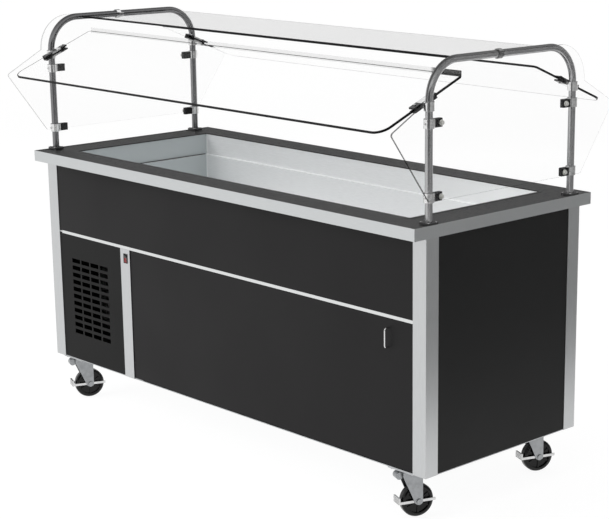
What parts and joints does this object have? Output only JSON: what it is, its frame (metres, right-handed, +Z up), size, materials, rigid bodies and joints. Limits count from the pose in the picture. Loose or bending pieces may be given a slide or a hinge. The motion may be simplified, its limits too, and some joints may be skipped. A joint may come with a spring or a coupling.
{
  "type": "mobile salad bar",
  "caption": "Cold-well serving counter on swivel casters, with bent tube arches carrying clear sloping guards, a slotted machine bay and a storage door.",
  "frame": {"origin": "on the floor, under the middle of the counter", "axes": "+Z up, +X along the counter towards its end without the machine bay, -Y towards the door side"},
  "size_m": [1.8456, 0.9458, 1.3515],
  "materials": {
    "deck_steel": "dark brushed stainless band round the well",
    "bright_steel": "light brushed stainless",
    "well_steel": "satin stainless",
    "foam": "rigid insulation foam, hidden",
    "copper_tube": "soft copper tube, hidden",
    "front_panel": "black semi-matte coating",
    "end_panel": "black semi-matte coating",
    "bright_trim": "bright satin trim",
    "zinc_sheet": "zinc-plated sheet",
    "chrome_wire": "polished wire",
    "nylon": "nylon bush",
    "black_plastic": "black moulded plastic",
    "white_plastic": "light moulded plastic",
    "switch_red": "dark red rocker with a black upper end",
    "brass_fitting": "cast brass",
    "black_paint": "black enamel",
    "fin_aluminium": "thin aluminium",
    "tube_steel": "satin stainless tube",
    "dark_flange": "dark foot flange",
    "bright_screw": "polished screw",
    "clamp_metal": "cast and polished clamp",
    "clip_metal": "pale satin clip",
    "clear_sheet": "clear sheet with dark polished edges",
    "tinted_sheet": "lightly tinted sheet with dark polished edges",
    "zinc_fork": "grey zinc-plated fork",
    "wheel_black": "glossy black wheel",
    "bright_strap": "bright plated strap"
  },
  "bodies": {
    "cabinet": {"arch_flanges": "dark_flange", "arch_left": "tube_steel", "arch_right": "tube_steel", "back_guard": "clear_sheet", "back_panel": "front_panel", "base_pan": "zinc_sheet", "bay_wall": "zinc_sheet", "caster_plates": "zinc_sheet", "compressor": "black_paint", "condenser": "fin_aluminium", "cooling_coil": "copper_tube", "corner_post_bl": "bright_steel", "corner_post_br": "bright_steel", "corner_post_fl": "bright_steel", "corner_post_fr": "bright_steel", "deck": "deck_steel", "divider_strip": "bright_steel", "door_catch": "black_plastic", "door_pivots": "zinc_sheet", "drain_fitting": "brass_fitting", "end_clamps": "clamp_metal", "end_guard_left": "clear_sheet", "end_guard_right": "clear_sheet", "end_panel_left": "end_panel", "end_panel_right": "end_panel", "fan_shroud": "black_paint", "fascia": "bright_steel", "flange_screws": "bright_screw", "front_guard": "clear_sheet", "guard_clamps": "clamp_metal", "power_inlet": "black_plastic", "storage_shelf": "well_steel", "switch_bezel": "black_plastic", "thermostat": "white_plastic", "top_clips": "clip_metal", "top_guard": "tinted_sheet", "trim_rail": "bright_trim", "upper_panel": "front_panel", "vent_panel": "front_panel", "well_insulation": "foam", "well_liner": "well_steel"},
    "door": {"door": "front_panel", "door_handle": "chrome_wire", "door_bushes": "nylon"},
    "fan": {"fan_blades": "fin_aluminium"},
    "rocker": {"switch_rocker": "switch_red"},
    "drain_lever_body": {"drain_lever": "zinc_sheet"},
    "knob": {"thermostat_knob": "black_plastic"},
    "swivel_fl": {"caster_fork_fl": "zinc_fork"},
    "wheel_fl": {"caster_wheel_fl": "wheel_black"},
    "brake_fl": {"caster_brake_fl": "bright_strap"},
    "swivel_fr": {"caster_fork_fr": "zinc_fork"},
    "wheel_fr": {"caster_wheel_fr": "wheel_black"},
    "brake_fr": {"caster_brake_fr": "bright_strap"},
    "swivel_bl": {"caster_fork_bl": "zinc_fork"},
    "wheel_bl": {"caster_wheel_bl": "wheel_black"},
    "brake_bl": {"caster_brake_bl": "bright_strap"},
    "swivel_br": {"caster_fork_br": "zinc_fork"},
    "wheel_br": {"caster_wheel_br": "wheel_black"},
    "brake_br": {"caster_brake_br": "bright_strap"}
  },
  "joints": [
    {"name": "door_hinge", "type": "hinge", "parent": "cabinet", "child": "door", "pos_m": [-0.444, -0.3215, 0.38], "axis": [0, 0, -1], "range_deg": [0, 110]},
    {"name": "fan_spin", "type": "hinge", "parent": "cabinet", "child": "fan", "pos_m": [-0.696, -0.156, 0.3845], "axis": [0, 1, 0], "continuous": true},
    {"name": "rocker_press", "type": "hinge", "parent": "cabinet", "child": "rocker", "pos_m": [-0.4835, -0.3285, 0.569], "axis": [-1, 0, 0], "range_deg": [0, 14]},
    {"name": "drain_valve_turn", "type": "hinge", "parent": "cabinet", "child": "drain_lever_body", "pos_m": [-0.547, 0.1883, 0.131], "axis": [0, 1, 0], "range_deg": [0, 90]},
    {"name": "thermostat_turn", "type": "hinge", "parent": "cabinet", "child": "knob", "pos_m": [-0.696, 0.34, 0.54], "axis": [0, 1, 0], "range_deg": [0, 270]},
    {"name": "swivel_turn_fl", "type": "hinge", "parent": "cabinet", "child": "swivel_fl", "pos_m": [-0.82739, -0.28858, 0.14], "axis": [0, 0, 1], "continuous": true},
    {"name": "wheel_roll_fl", "type": "hinge", "parent": "swivel_fl", "child": "wheel_fl", "pos_m": [-0.82, -0.27, 0.0508], "axis": [0.9291, -0.3697, 0], "continuous": true},
    {"name": "brake_press_fl", "type": "hinge", "parent": "swivel_fl", "child": "brake_fl", "pos_m": [-0.82, -0.27, 0.0508], "axis": [0.9291, -0.3697, 0], "range_deg": [0, 15]},
    {"name": "swivel_turn_fr", "type": "hinge", "parent": "cabinet", "child": "swivel_fr", "pos_m": [0.81261, -0.28858, 0.14], "axis": [0, 0, 1], "continuous": true},
    {"name": "wheel_roll_fr", "type": "hinge", "parent": "swivel_fr", "child": "wheel_fr", "pos_m": [0.82, -0.27, 0.0508], "axis": [0.9291, -0.3697, 0], "continuous": true},
    {"name": "brake_press_fr", "type": "hinge", "parent": "swivel_fr", "child": "brake_fr", "pos_m": [0.82, -0.27, 0.0508], "axis": [0.9291, -0.3697, 0], "range_deg": [0, 15]},
    {"name": "swivel_turn_bl", "type": "hinge", "parent": "cabinet", "child": "swivel_bl", "pos_m": [-0.82739, 0.25142, 0.14], "axis": [0, 0, 1], "continuous": true},
    {"name": "wheel_roll_bl", "type": "hinge", "parent": "swivel_bl", "child": "wheel_bl", "pos_m": [-0.82, 0.27, 0.0508], "axis": [0.9291, -0.3697, 0], "continuous": true},
    {"name": "brake_press_bl", "type": "hinge", "parent": "swivel_bl", "child": "brake_bl", "pos_m": [-0.82, 0.27, 0.0508], "axis": [0.9291, -0.3697, 0], "range_deg": [0, 15]},
    {"name": "swivel_turn_br", "type": "hinge", "parent": "cabinet", "child": "swivel_br", "pos_m": [0.81261, 0.25142, 0.14], "axis": [0, 0, 1], "continuous": true},
    {"name": "wheel_roll_br", "type": "hinge", "parent": "swivel_br", "child": "wheel_br", "pos_m": [0.82, 0.27, 0.0508], "axis": [0.9291, -0.3697, 0], "continuous": true},
    {"name": "brake_press_br", "type": "hinge", "parent": "swivel_br", "child": "brake_br", "pos_m": [0.82, 0.27, 0.0508], "axis": [0.9291, -0.3697, 0], "range_deg": [0, 15]}
  ]
}
